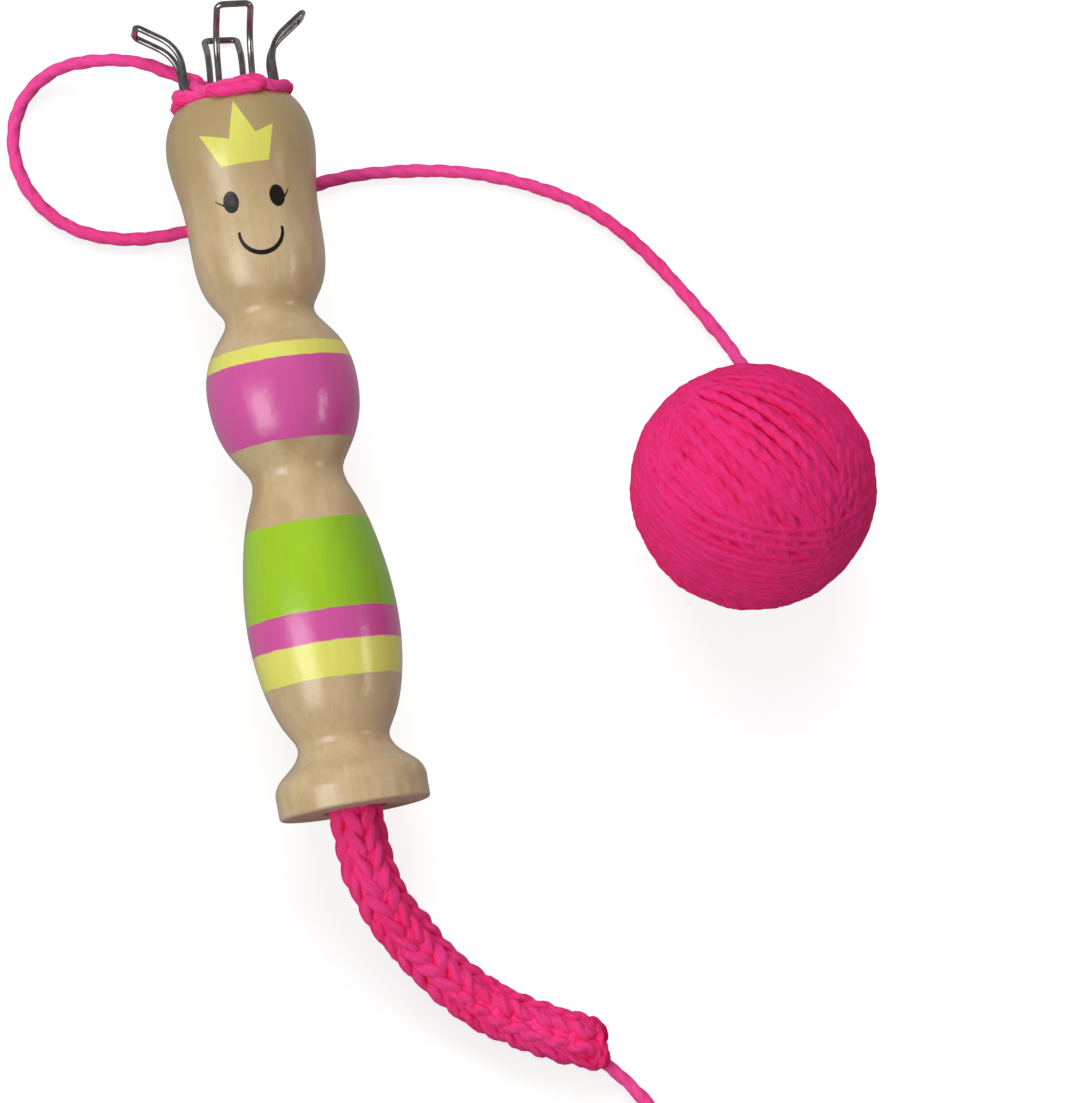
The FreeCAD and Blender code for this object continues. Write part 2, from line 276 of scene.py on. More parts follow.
def yarn_tube(name, line, radius, plies, sides, turn, depth, ends=(1.0, 1.0), closed=False, uneven=0.03):
    """A yarn along a line: lobed across, its plies turning along it, slightly uneven in thickness."""
    section = ply_section(radius, plies, sides, depth)
    curve = bpy.data.curves.new(name, "CURVE")
    curve.dimensions = "3D"
    curve.bevel_mode = "OBJECT"
    curve.bevel_object = section
    curve.use_fill_caps = not closed
    spline = curve.splines.new("POLY")
    spline.points.add(len(line) - 1)
    spline.use_cyclic_u = closed
    along = lengths_along(line)
    total = along[-1]
    for point, place, s in zip(spline.points, line, along):
        point.co = (*place, 1)
        point.tilt = math.tau * s / turn
        lumps = noise.noise(place * COARSE_LUMPS) + 0.5 * noise.noise(place * FINE_LUMPS)
        point.radius = (1 + uneven * lumps) * rounded_end(s, ends[0]) * rounded_end(total - s, ends[1])
    mesh = curve_mesh(curve)
    section_curve = section.data
    bpy.data.objects.remove(section)
    bpy.data.curves.remove(section_curve)
    # The UV map runs round the yarn and, in millimetres, along it.
    uv = mesh.uv_layers[0]
    values = np.zeros(len(uv.data) * 2, np.float32)
    uv.data.foreach_get("uv", values)
    values[1::2] = values[1::2] * total / MM
    uv.data.foreach_set("uv", values)
    tidy_mesh(mesh)
    return mesh


def tidy_mesh(mesh):
    """Joins doubled points, turns faces outwards and shades them smooth."""
    bm = bmesh.new()
    bm.from_mesh(mesh)
    bmesh.ops.remove_doubles(bm, verts=bm.verts, dist=1e-7)
    bmesh.ops.recalc_face_normals(bm, faces=bm.faces)
    for face in bm.faces:
        face.smooth = True
    bm.to_mesh(mesh)
    bm.free()


# How much painted shade a strand takes from lying deep, and from its side being turned away.
DEPTH_SHADE_FROM_DEPTH = 0.45
DEPTH_SHADE_FROM_SIDE = 0.75


def read_vectors(items, key):
    """An array of one vector for each of a mesh's items."""
    values = np.zeros(len(items) * 3, np.float32)
    items.foreach_get(key, values)
    return values.reshape(-1, 3)


def mark_painted_depth_shade(mesh, centres, outside, reach):
    """Stores, from 0 to 1, how much painted shade each point gets, from how deep it lies in its piece and how
    far down a strand's side.
    """
    places = read_vectors(mesh.vertices, "co")
    normals = read_vectors(mesh.vertex_normals, "vector")
    gap = np.full(len(places), np.inf)
    outwards = np.zeros(len(places))
    for centre in centres:
        away = places - np.array(centre)
        distance = np.linalg.norm(away, axis=1)
        facing = (away * normals).sum(axis=1) / np.maximum(distance, 1e-6)
        outwards = np.where(distance < gap, facing, outwards)
        gap = np.minimum(gap, distance)
    deep = np.clip((outside - gap) / reach, 0, 1)
    painted_depth_shade = np.clip(DEPTH_SHADE_FROM_DEPTH * deep + DEPTH_SHADE_FROM_SIDE * np.clip(1 - outwards, 0, 1), 0, 1)
    mesh.attributes.new("painted_depth_shade", "FLOAT", "POINT").data.foreach_set("value", painted_depth_shade.astype(np.float32))


def joined(name, meshes, slots=()):
    """One mesh from several, each with its own material slot where slots are given."""
    bm = bmesh.new()
    for mesh, slot in zip(meshes, slots or [0] * len(meshes)):
        known = len(bm.faces)
        bm.from_mesh(mesh)
        bm.faces.ensure_lookup_table()
        for face in bm.faces[known:]:
            face.material_index = slot
    whole = bpy.data.meshes.new(name)
    bm.to_mesh(whole)
    bm.free()
    for mesh in meshes:
        bpy.data.meshes.remove(mesh)
    return whole


def piece(name, mesh, materials, slot, *nodes):
    """Puts a finished mesh in the scene as a piece that rides on the doll and stands for its solids."""
    mesh.name = name
    obj = link(bpy.data.objects.new(name, mesh))
    mesh.materials.clear()
    for material in materials:
        mesh.materials.append(material)
    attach(obj, "root")
    if nodes:
        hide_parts(*nodes)
    return obj


# ---------------------------------------------------------------- material helpers

# Clouds to the metre: a yarn's fuzz, the slow changes of its dye, the floor's paper, and the wire's patches.
YARN_FUZZ = 1500.0
DYE_PATCHES = 240.0
PAPER_GRAIN = 900.0
WIRE_PATCHES = 420.0


def feed(value, socket):
    """Links a node's output to a socket, or sets the socket to a plain value."""
    if isinstance(value, bpy.types.NodeSocket):
        socket.id_data.links.new(value, socket)
    else:
        socket.default_value = value


def node(kind, inputs, **settings):
    """A new node with its inputs fed, in the node tree of the sockets among them."""
    tree = next(value.id_data for value in inputs.values() if isinstance(value, bpy.types.NodeSocket))
    new = tree.nodes.new(kind)
    for key, value in settings.items():
        setattr(new, key, value)
    for key, value in inputs.items():
        feed(value, new.inputs[key])
    return new


def calc(operation, *values, clamp=False):
    return node("ShaderNodeMath", dict(enumerate(values)), operation=operation, use_clamp=clamp).outputs[0]


def most(first, *others):
    """The greatest of some values."""
    for other in others:
        first = calc("MAXIMUM", first, other)
    return first


def below(value, limit, soft):
    """1 where value is under limit, 0 over it, with a narrow soft step."""
    return calc("MULTIPLY_ADD", calc("SUBTRACT", limit, value), 1 / soft, 0.5, clamp=True)


def between(value, low, high, soft):
    return calc("MULTIPLY", below(value, high, soft), below(low, value, soft))


def mixed(factor, first, second, blend="MIX"):
    """A second colour laid on a first, as strongly as the factor says."""
    inputs = {0: factor, 6: first, 7: second}
    return node("ShaderNodeMix", inputs, data_type="RGBA", blend_type=blend).outputs[2]


def cloud(places, scale, detail=2.0, roughness=0.5, distortion=0.0):
    """Soft noise over some places, from 0 to 1."""
    inputs = {
        "Vector": places, "Scale": scale, "Detail": detail, "Roughness": roughness, "Distortion": distortion}
    return node("ShaderNodeTexNoise", inputs).outputs["Fac"]


def spread(value, low, high, new_low, new_high):
    """A value's range from low to high, laid over a new range and held at its ends."""
    inputs = {"Value": value, "From Min": low, "From Max": high, "To Min": new_low, "To Max": new_high}
    return node("ShaderNodeMapRange", inputs).outputs[0]


def grey(value):
    return node("ShaderNodeCombineColor", {0: value, 1: value, 2: value}).outputs[0]


def rgba(colour):
    return (*colour, 1.0)


def object_places(tree):
    return tree.nodes.new("ShaderNodeTexCoord").outputs["Object"]


def parts_of(places):
    """The three numbers of some places."""
    return node("ShaderNodeSeparateXYZ", {0: places}).outputs


def stretched(places, x, y, z):
    return node("ShaderNodeVectorMath", {0: places, 1: (x, y, z)}, operation="MULTIPLY").outputs[0]


def distance_from(places, spot):
    return node("ShaderNodeVectorMath", {0: places, 1: spot}, operation="DISTANCE").outputs["Value"]


def turned(places, axis, angle, centre=(0, 0, 0)):
    inputs = {"Vector": places, "Center": centre, "Axis": axis, "Angle": angle}
    return node("ShaderNodeVectorRotate", inputs, rotation_type="AXIS_ANGLE").outputs[0]


def emboss(height, distance, strength, socket):
    """Gives a shader the relief of a height pattern."""
    inputs = {"Height": height, "Distance": distance, "Strength": strength}
    feed(node("ShaderNodeBump", inputs).outputs[0], socket)


def new_material(name, **sockets):
    material = bpy.data.materials.new(name)
    material.use_nodes = True
    shader = material.node_tree.nodes["Principled BSDF"]
    for key, value in sockets.items():
        shader.inputs[key.replace("_", " ")].default_value = value
    return material, material.node_tree, shader.inputs


def yarn_fibre_group():
    """Fibres and ply grooves of a yarn whose UV map runs round it and, in millimetres, along it."""
    name = "Yarn Fibres"
    if name in bpy.data.node_groups:
        return bpy.data.node_groups[name]
    tree = bpy.data.node_groups.new(name, "ShaderNodeTree")
    for label, default in (("Plies", 3.0), ("Fibre Length", 2.2), ("Lean", 0.10)):
        socket = tree.interface.new_socket(label, in_out="INPUT", socket_type="NodeSocketFloat")
        socket.default_value = default
    for label in ("Height", "Groove", "Tone"):
        tree.interface.new_socket(label, in_out="OUTPUT", socket_type="NodeSocketFloat")
    given = tree.nodes.new("NodeGroupInput").outputs
    result = tree.nodes.new("NodeGroupOutput").inputs
    around, along, _ = parts_of(tree.nodes.new("ShaderNodeUVMap").outputs[0])
    ply_turn = calc("MULTIPLY", calc("MULTIPLY", around, given["Plies"]), math.pi)
    groove = calc("ABSOLUTE", calc("SINE", ply_turn))
    turn = calc("MULTIPLY", calc("MULTIPLY_ADD", along, given["Lean"], around), math.tau)
    fibre_run = calc("DIVIDE", along, calc("MULTIPLY", given["Fibre Length"], 4.0))
    inputs = {0: calc("COSINE", turn), 1: calc("SINE", turn), 2: fibre_run}
    on_yarn = node("ShaderNodeCombineXYZ", inputs).outputs[0]
    fibres = cloud(on_yarn, 5.5, 3.0, 0.6)
    fine_fibres = cloud(on_yarn, 15.0, 2.0, 0.6)
    rough = calc("MULTIPLY_ADD", fine_fibres, 0.45, calc("MULTIPLY", fibres, 0.8))
    feed(calc("MULTIPLY_ADD", calc("POWER", groove, 0.6), 0.5, rough), result["Height"])
    feed(groove, result["Groove"])
    feed(fibres, result["Tone"])
    return tree


def yarn_material(yarn, name, colour, depths=None, fibre_length=2.2, bump=0.00009):
    """Dyed yarn: fibres, painted shade between the plies and, where a depths colour is given, painted shade
    between the strands.
    """
    if name in bpy.data.materials:
        return bpy.data.materials[name]
    material, tree, shader = new_material(
        name, Roughness=0.85, Specular_IOR_Level=0.10, Sheen_Weight=0.02, Sheen_Roughness=0.4,
        Sheen_Tint=(1.0, 0.55, 0.8, 1.0))
    fibres = tree.nodes.new("ShaderNodeGroup")
    fibres.node_tree = yarn_fibre_group()
    feed(yarn.plies, fibres.inputs["Plies"])
    feed(fibre_length, fibres.inputs["Fibre Length"])
    red, green, blue = colour
    # Painted shade in the ply grooves: a darker, redder copy of the yarn's colour.
    painted_groove_shade = (red * 0.95, green * 0.35, blue * 0.62, 1)
    on_pale_fibres = (1, green * 2.8, blue * 1.45, 1)
    dyed = mixed(calc("POWER", fibres.outputs["Groove"], 0.7), painted_groove_shade, rgba(colour))
    dyed = mixed(spread(fibres.outputs["Tone"], 0.44, 0.62, 0.0, 0.85), dyed, on_pale_fibres)
    # Painted shade between the strands: the depths colour comes in where a point lies deep or on a strand's
    # turned-away side.
    if depths:
        painted_depth_shade = tree.nodes.new("ShaderNodeAttribute")
        painted_depth_shade.attribute_name = "painted_depth_shade"
        dyed = mixed(painted_depth_shade.outputs["Fac"], dyed, rgba(depths))
    place = object_places(tree)
    fuzz = cloud(place, YARN_FUZZ, 3.0, 0.7)
    patches = spread(cloud(place, DYE_PATCHES), 0.3, 0.7, 0.97, 1.03)
    shade = calc("MULTIPLY", patches, spread(fuzz, 0.35, 0.65, 0.93, 1.05))
    feed(mixed(1.0, dyed, grey(shade), "MULTIPLY"), shader["Base Color"])
    emboss(calc("MULTIPLY_ADD", fuzz, 0.4, fibres.outputs["Height"]), bump, 0.8, shader["Normal"])
    return material


# ---------------------------------------------------------------- stage

# The camera's place in millimetres, its turn round the vertical, and how steeply it looks down.
CAMERA_PLACE = Vector((15.745, -175.402, 1052.912))
CAMERA_TURN = math.radians(-10.0604)
CAMERA_RISE = math.radians(82.1)
# Where the lamps point, in metres, and how their light is tinted.
LAMP_AIM = Vector((0.02, -0.03, 0.01))
WARM, WARMER, NEUTRAL = (1.0, 0.985, 0.96), (1.0, 0.95, 0.90), (1.0, 1.0, 1.0)
WHITE = (1, 1, 1, 1)
# How much of the floor's glow mirrors show.
MIRRORED_GLOW = 0.06


def placed(obj, axes, place):
    """Turns an object to three axes and puts it in its place."""
    obj.matrix_world = Matrix.Translation(place) @ Matrix(axes).transposed().to_4x4()
    return obj


def softbox(name, direction, distance, width, height, power, tint):
    """An area lamp aimed at the doll, its height running along the doll."""
    lamp = bpy.data.lights.new(name, "AREA")
    lamp.shape = "RECTANGLE"
    lamp.size = width
    lamp.size_y = height
    lamp.energy = power
    lamp.color = tint
    towards = Vector(direction).normalized()
    across = Vector((0, 1, 0)).cross(towards).normalized()
    obj = link(bpy.data.objects.new(name, lamp))
    obj.visible_camera = False
    return placed(obj, (across, towards.cross(across), towards), LAMP_AIM + towards * distance)


def camera(lens):
    """The camera, high over the doll."""
    turn, rise = CAMERA_TURN, CAMERA_RISE
    back = Vector((math.sin(turn) * math.cos(rise), -math.cos(turn) * math.cos(rise), math.sin(rise)))
    right = Vector((math.cos(turn), math.sin(turn), 0))
    data = bpy.data.cameras.new("camera")
    data.lens = lens
    data.sensor_width = 36
    data.clip_start = 0.05
    data.clip_end = 20
    obj = link(bpy.data.objects.new("camera", data))
    return placed(obj, (right, back.cross(right), back), CAMERA_PLACE * MM)


def even_light(fill):
    """A world that lights evenly from all round, and that the camera sees as white."""
    world = bpy.data.worlds.new("even_light")
    world.use_nodes = True
    tree = world.node_tree
    tree.nodes.clear()
    rays = tree.nodes.new("ShaderNodeLightPath").outputs
    seen = calc("MAXIMUM", rays["Is Camera Ray"], rays["Is Transmission Ray"])
    strength = node("ShaderNodeMix", {0: seen, 2: fill, 3: 1.0}).outputs[0]
    background = node("ShaderNodeBackground", {"Color": WHITE, "Strength": strength})
    feed(background.outputs[0], tree.nodes.new("ShaderNodeOutputWorld").inputs[0])
    return world


def paper_material(glow):
    """Pale paper that the camera sees lifted towards white."""
    material = bpy.data.materials.new("Pale Paper Floor")
    material.use_nodes = True
    tree = material.node_tree
    tree.nodes.clear()
    paper = spread(cloud(object_places(tree), PAPER_GRAIN, 3.0), 0.3, 0.7, 0.555, 0.585)
    diffuse = node("ShaderNodeBsdfDiffuse", {"Color": grey(paper)})
    rays = tree.nodes.new("ShaderNodeLightPath").outputs
    mirrored = calc("MULTIPLY", rays["Is Glossy Ray"], MIRRORED_GLOW)
    lifted = calc("MULTIPLY", calc("MAXIMUM", rays["Is Camera Ray"], mirrored), glow)
    lift = node("ShaderNodeEmission", {"Color": WHITE, "Strength": lifted})
    both = node("ShaderNodeAddShader", {0: diffuse.outputs[0], 1: lift.outputs[0]})
    feed(both.outputs[0], tree.nodes.new("ShaderNodeOutputMaterial").inputs[0])
    return material


class KNITTINGDOLL_OT_stage(bpy.types.Operator):
    """Camera, softboxes, even light and a pale floor"""

    bl_idname = "knitting_doll.stage"
    bl_label = "Stage and lamps"

    def execute(self, context):
        settings = context.scene.knitting_doll_stage
        context.scene.view_settings.view_transform = "Standard"
        context.scene.camera = camera(settings.lens)
        context.scene.world = even_light(settings.fill)
        left = [
            softbox("left_softbox", (-0.60, -0.19, 0.78), 0.90, 0.80, 0.80, settings.key * 0.45, WARM),
            softbox("left_softbox_middle", (-0.60, -0.21, 0.78), 0.88, 0.42, 0.56, settings.key * 0.55, WARM),
        ]
        softbox("right_softbox", (0.86, -0.26, 0.47), 0.90, 0.17, 0.42, settings.side, WARMER)
        overhead = softbox("overhead_light", (0.05, 0.90, 0.78), 1.30, 1.0, 1.0, settings.top, NEUTRAL)
        overhead.visible_glossy = False

        bm = bmesh.new()
        bmesh.ops.create_grid(bm, x_segments=8, y_segments=8, size=2.5)
        bmesh.ops.translate(bm, verts=bm.verts, vec=(0.03, -0.04, -0.00005))
        mesh = bpy.data.meshes.new("floor")
        bm.to_mesh(mesh)
        bm.free()
        mesh.materials.append(paper_material(settings.glow))
        floor = link(bpy.data.objects.new("floor", mesh))
        # The floor's shadow is the overhead light's: the left softboxes light everything but the floor.
        apart = bpy.data.collections.new("out_of_the_left_softboxes")
        apart.objects.link(floor)
        apart.collection_objects[0].light_linking.link_state = "EXCLUDE"
        for lamp in left:
            lamp.light_linking.receiver_collection = apart
        return {"FINISHED"}


# ---------------------------------------------------------------- yarn ball


# The ball's broad windings, as its solid has them: how many, how deep their grooves are, and their axis.
WINDINGS = 9
WINDING_DEPTH = 2.0
AXIS_TURN = math.radians(29)
WINDING_AXIS = Vector((0.9397 * math.cos(AXIS_TURN), 0.9397 * math.sin(AXIS_TURN), -0.3420))
# Bands of yarn, each laid over those before it: the direction its turns run round, how many turns, how far it
# lies below the surface, how much of the broad windings' grooves it follows, and its half width in degrees.
INNER_BANDS = (
    ((0.15, 0.30, 0.94), 30, 4.4, 0.0, 62),
    ((0.88, 0.45, -0.12), 30, 4.2, 0.0, 62),
    ((-0.30, 0.80, 0.45), 36, 1.9, 0.9, 70),
)
OUTER_BANDS = (
    (tuple(WINDING_AXIS), 23, 0.6, 0.75, 72),
    ((0.47, 0.04, -0.88), 7, 0.5, 0.5, 22),
    ((0.47, -0.02, 0.88), 7, 0.5, 0.5, 22),
    ((0.82, 0.51, 0.24), 6, 0.3, 0.6, 18),
    ((0.79, 0.53, -0.31), 4, 0.2, 0.6, 12),
    ((0.30, 0.35, 0.89), 9, 0.3, 0.5, 18),
    ((0.35, 0.57, 0.74), 10, 0.1, 0.5, 25),
    ((0.45, 0.46, -0.77), 5, 0.0, 0.5, 15),
    ((0.76, 0.64, -0.09), 2, 0.1, 0.4, 5),
)
# How unevenly the turns lie: how far each strays to the side, and how far the band's axis tips, in radians.
STRAY = 0.034
TIP = 0.09
# How far a band sinks where a later one covers it, and how far its ends dive in, in millimetres.
TUCK = 1.0
DIVE = 2.2
# Points over which the ends dive in and the heights are smoothed, and points that are compared at a time.
DIVE_POINTS = 12
SMOOTHED_POINTS = 9
COMPARED_POINTS = 60


def band_of_turns(axis, turns, spread_angle, points_per_turn, drift):
    """Directions of one winding: turn beside turn from one side of a great circle to the other."""
    axis = Vector(axis).normalized()
    side = axis.orthogonal().normalized()
    other = axis.cross(side)
    directions = []
    for i in range(int(turns * points_per_turn) + 1):
        done = i / points_per_turn
        turn = math.tau * done
        sway = Vector((drift + done * 0.4, math.cos(turn) * 0.8, math.sin(turn) * 0.8))
        lean = math.radians(spread_angle) * (2 * done / turns - 1) + STRAY * noise.noise(sway * 1.3)
        tip = TIP * noise.noise(Vector((drift, 4.0, done * 0.45)))
        flat = side * math.cos(turn) + other * math.sin(turn)
        up = (axis + side * tip).normalized()
        directions.append((flat * math.cos(lean) + up * math.sin(lean)).normalized())
    return np.array([tuple(d) for d in directions])


def groove_depth(directions):
    """How far the surface of the broad windings lies below the ball's outside, for an array of directions."""
    step = math.pi / WINDINGS
    passed = np.arccos(np.clip(directions @ np.array(WINDING_AXIS), -1, 1)) / step
    at_pole = (passed < 1) | (passed > WINDINGS - 1)
    from_crest = np.where(at_pole, np.minimum(passed, WINDINGS - passed), 2 * (passed % 1) - 1)
    return WINDING_DEPTH * from_crest ** 2


def covered(points, bands):
    """Between 0 and 1, how far an array of directions lies under any of some later bands."""
    under = np.zeros(len(points))
    for axis, _, _, _, half_width in bands:
        rise = points @ np.array(Vector(axis).normalized())
        lean = np.degrees(np.abs(np.arcsin(np.clip(rise, -1, 1))))
        under = np.maximum(under, np.clip((half_width - 0.5 - lean) / 4.0, 0, 1))
    return under * under * (3 - 2 * under)


def laid_over(bands, directions, outside, width):
    """Lays each band on those under it: crossing strands climb over each other and dive under later bands."""
    placed = np.zeros((0, 3))
    heights = np.zeros(0)
    lines = []
    for i, (band, points) in enumerate(zip(bands, directions)):
        _, _, depth, follows, _ = band
        radii = outside - depth - follows * groove_depth(points)
        if i >= len(INNER_BANDS):
            radii = radii - TUCK * covered(points, bands[i + 1:])
        if len(placed):
            for first in range(0, len(points), COMPARED_POINTS):
                some = slice(first, first + COMPARED_POINTS)
                gap = np.arccos(np.clip(points[some] @ placed.T, -1, 1)) * outside
                climb = 0.7 * np.sqrt(np.maximum(0, width**2 - gap**2))
                lift = np.where(gap < width, heights[None, :] + climb, 0)
                radii[some] = np.maximum(radii[some], lift.max(axis=1))
        radii = np.minimum(radii, outside)
        window = np.hanning(SMOOTHED_POINTS)
        window /= window.sum()
        radii = np.convolve(np.pad(radii, SMOOTHED_POINTS // 2, mode="edge"), window, mode="valid")
        from_end = np.minimum(np.arange(len(radii)), np.arange(len(radii))[::-1]) / DIVE_POINTS
        radii = radii - DIVE * np.clip(1 - from_end, 0, 1) ** 2
        lines.append((points, radii))
        placed = np.vstack([placed, points])
        heights = np.concatenate([heights, radii])
    return lines


class KNITTINGDOLL_OT_yarn_ball(bpy.types.Operator):
    """Ball of yarn wound in bands that cross each other"""

    bl_idname = "knitting_doll.yarn_ball"
    bl_label = "Yarn ball"

    def execute(self, context):
        ball = context.scene.knitting_doll_ball
        yarn = context.scene.knitting_doll_yarn
        strand = ball.strand / MM
        outside = ball.radius / MM - strand
        bands = INNER_BANDS + OUTER_BANDS
        directions = []
        for i, (axis, turns, _, _, half_width) in enumerate(bands):
            points_per_turn = 80 if i < len(INNER_BANDS) else 128
            directions.append(band_of_turns(axis, turns, half_width, points_per_turn, ball.seed + 7.3 * i))
        # Painted shade: the ball's yarn is a darker copy of the yarn's colour.
        material = yarn_material(yarn, "Wound Yarn With Painted Shade", yarn.wound, yarn.depths, 2.4, 0.00011)
        # Painted shade: the inner windings take the depths colour all over.
        deep = yarn_material(yarn, "Yarn With Painted Depth Shade", yarn.depths)
        for i, (points, radii) in enumerate(laid_over(bands, directions, outside, strand * 1.65)):
            line = []
            for direction, radius in zip(points, radii):
                place = BALL_CENTRE + Vector(direction) * float(radius)
                place.z = max(place.z, strand + 0.03)
                line.append(place * MM)
            name = f"yarn_ball_winding_{i + 1}"
            sides, looks = (9, deep) if i < len(INNER_BANDS) else (15, material)
            mesh = yarn_tube(
                name, line, ball.strand, yarn.plies, sides, yarn.turn * 0.85, 0.32, (0.4, 0.4), uneven=0.24)
            mark_painted_depth_shade(mesh, [BALL_CENTRE * MM], ball.radius - 0.0003, 0.0026)
            piece(name, mesh, [looks], "yarn", "yarn_ball")
        return {"FINISHED"}


# ---------------------------------------------------------------- cords

# How far the knitting's line is drawn on past the end of its route, so that the end stitches have room, and
# how far the first stitches reach into that, in metres.
END_OVERRUN = 0.004
FIRST_REACH = 0.0012
# Length of cord over which the slant of its cast-on end fades out.
SLANT_LENGTH = 0.008


def loose_strand(yarn, solid, route, ends):
    """A yarn that lies free along a route in place of its solid, and its line."""
    name = f"{solid}_strand"
    line = route_line(route, YARN_STEPS)
    mesh = yarn_tube(name, line, yarn.radius, yarn.plies, 18, yarn.turn, 0.26, ends, uneven=0.12)
    # Painted light: the loose yarn's material is a paler copy of the yarn's colour.
    return piece(name, mesh, [yarn_material(yarn, "Loose Yarn With Painted Light", yarn.loose)], "yarn", solid), line


class KNITTINGDOLL_OT_working_yarn(bpy.types.Operator):
    """Loose yarn from the crown, round in a loop, under the doll and on to its ball"""

    bl_idname = "knitting_doll.working_yarn"
    bl_label = "Working yarn"

    def execute(self, context):
        yarn = context.scene.knitting_doll_yarn
        strand, line = loose_strand(yarn, "working_yarn", WORKING_YARN_ROUTE, (0.6, 0.6))
        return {"FINISHED"}


class KNITTINGDOLL_OT_cast_on_tail(bpy.types.Operator):
    """Tail of the cast-on round, lying loose from the end of the knitted cord"""

    bl_idname = "knitting_doll.cast_on_tail"
    bl_label = "Cast-on tail"

    def execute(self, context):
        yarn = context.scene.knitting_doll_yarn
        strand, line = loose_strand(yarn, "cast_on_tail", TAIL_ROUTE, (0.7, 0.45))
        return {"FINISHED"}


def framed_line(line):
    """Arrays of a line's places, lengths and two side directions that don't twist along it."""
    along = np.array(lengths_along(line))
    side = Vector((1, 0, 0))
    sides, others = [], []
    for before, after in zip([line[0]] + line[:-1], line[1:] + [line[-1]]):
        tangent = (after - before).normalized()
        side = (side - tangent * side.dot(tangent)).normalized()
        sides.append(side.copy())
        others.append(tangent.cross(side))
    return along, *(np.array([tuple(v) for v in vectors]) for vectors in (line, sides, others))


def beside(framed, s, out, around):
    """Places at lengths s along a framed line, out from it and round it."""
    along, places, sides, others = framed
    at, side, other = (
        np.stack([np.interp(s, along, field[:, k]) for k in range(3)], axis=1)
        for field in (places, sides, others))
    away = np.cos(around)[:, None] * side + np.sin(around)[:, None] * other
    return [Vector(place) for place in at + np.asarray(out)[:, None] * away]


def end_lean(framed, knit, s, around):
    """How far places near the cast-on end move along the cord, because that end is cut at a slant."""
    _, _, sides, others = framed
    upper = math.atan2(others[0][1], sides[0][1])
    return knit.slant * np.cos(around - upper) * np.clip(1 - (s - END_OVERRUN) / SLANT_LENGTH, 0, 1)


def knit_line(framed, knit, first, last, per_stitch):
    """The yarn's own line through stitch first to stitch last, four stitches to the round."""
    count = int((last - first) * per_stitch) + 1
    u = first + np.arange(count) / per_stitch
    phase = math.tau * u
    slow, quick, other = (
        np.array([noise.noise(Vector((rate * x, start, 1.0))) for x in u])
        for rate, start in ((0.31, 5.0), (0.93, 9.0), (0.77, 14.0)))
    around = math.tau * u / 4 + (knit.swing / knit.ring) * (1 + 0.3 * slow) * np.sin(2 * phase) + 0.11 * quick
    s = END_OVERRUN - FIRST_REACH + knit.row * u / 4 + knit.reach * (1 + np.cos(phase)) + 0.0007 * other
    out = knit.ring - knit.depth * np.cos(2 * phase) + 0.0003 * quick
    drawn_in = np.clip((s - END_OVERRUN + FIRST_REACH) / knit.rounding, 0, 1)
    out = out * (0.72 + 0.28 * np.sqrt(1 - (1 - drawn_in) ** 2))
    return beside(framed, s + end_lean(framed, knit, s, around), out, around)


class KNITTINGDOLL_OT_knitted_cord(bpy.types.Operator):
    """Knitted cord: one yarn looped through itself, down the bore and out of the foot"""

    bl_idname = "knitting_doll.knitted_cord"
    bl_label = "Knitted cord"

    def execute(self, context):
        knit = context.scene.knitting_doll_knit
        yarn = context.scene.knitting_doll_yarn
        path = route_line(KNITTED_CORD_ROUTE, CORD_STEPS)
        outside = list(reversed(path))
        tip = outside[0] + (outside[0] - outside[1]).normalized() * END_OVERRUN
        crown = doll_point(0, WOOD_LENGTH + 0.6, 0) * MM
        inside = [outside[-1].lerp(crown, i / 60) for i in range(1, 61)]
        framed = framed_line([tip] + outside + inside)
        whole = framed[0][-1]
        outside_length = lengths_along(outside)[-1]
        split = round((outside_length - knit.reach + FIRST_REACH) / knit.row * 4)
        last = int((whole - END_OVERRUN - 2 * knit.reach) / knit.row * 4)
        material = yarn_material(yarn, "Knitted Yarn", yarn.colour, yarn.depths, 1.6, 0.00010)
        deep = yarn_material(yarn, "Yarn With Painted Depth Shade", yarn.depths)
        twist = yarn.turn * 0.62

        line = knit_line(framed, knit, 0, split, 26)
        stitches = yarn_tube(
            "stitches", line, knit.thickness, yarn.plies, 18, twist, 0.36, (0.5, 0.8), uneven=0.2)
        # The cast-on edge coils from the middle of the end out to the stitches.
        turns = np.linspace(0, 1, 90)
        around = -2.2 - math.tau * 2.0 * (1 - turns)
        edge_s = END_OVERRUN + 0.0001 + 0.0004 * turns
        edge_s = edge_s + end_lean(framed, knit, edge_s, around)
        edge = beside(framed, edge_s, 0.0006 + 0.0027 * turns ** 0.6, around)
        edge_strand = yarn_tube(
            "cast_on_edge", edge, knit.thickness * 0.85, yarn.plies, 16, twist, 0.36, (0.5, 0.5), uneven=0.16)
        # The floats are the strands inside the knitting, seen deep between the stitches, coloured all over
        # with painted shade.
        middle_s = np.linspace(END_OVERRUN + 0.0008, END_OVERRUN + outside_length, 150)
        middle = beside(framed, middle_s, np.zeros(150), np.zeros(150))
        floats = yarn_tube("floats", middle, 0.0041, 8, 40, 0.035, 0.45, (0.5, 1.0), uneven=0.12)
        for mesh in (stitches, edge_strand, floats):
            mark_painted_depth_shade(mesh, framed[1], knit.ring + knit.thickness + knit.depth * 0.6, 0.0017)
        mesh = joined("knitted_cord_stitches", [stitches, edge_strand, floats], (0, 0, 1))
        cord = piece("knitted_cord_stitches", mesh, [material, deep], "yarn", "knitted_cord")

        line = knit_line(framed, knit, split, last, 16)
        mesh = yarn_tube("knitted_cord_in_bore", line, knit.thickness, yarn.plies, 10, twist, 0.3, (0.8, 0.6))
        piece("knitted_cord_in_bore", mesh, [material], "yarn", "knitted_cord_inside")
        return {"FINISHED"}


# ---------------------------------------------------------------- stitches on the crown

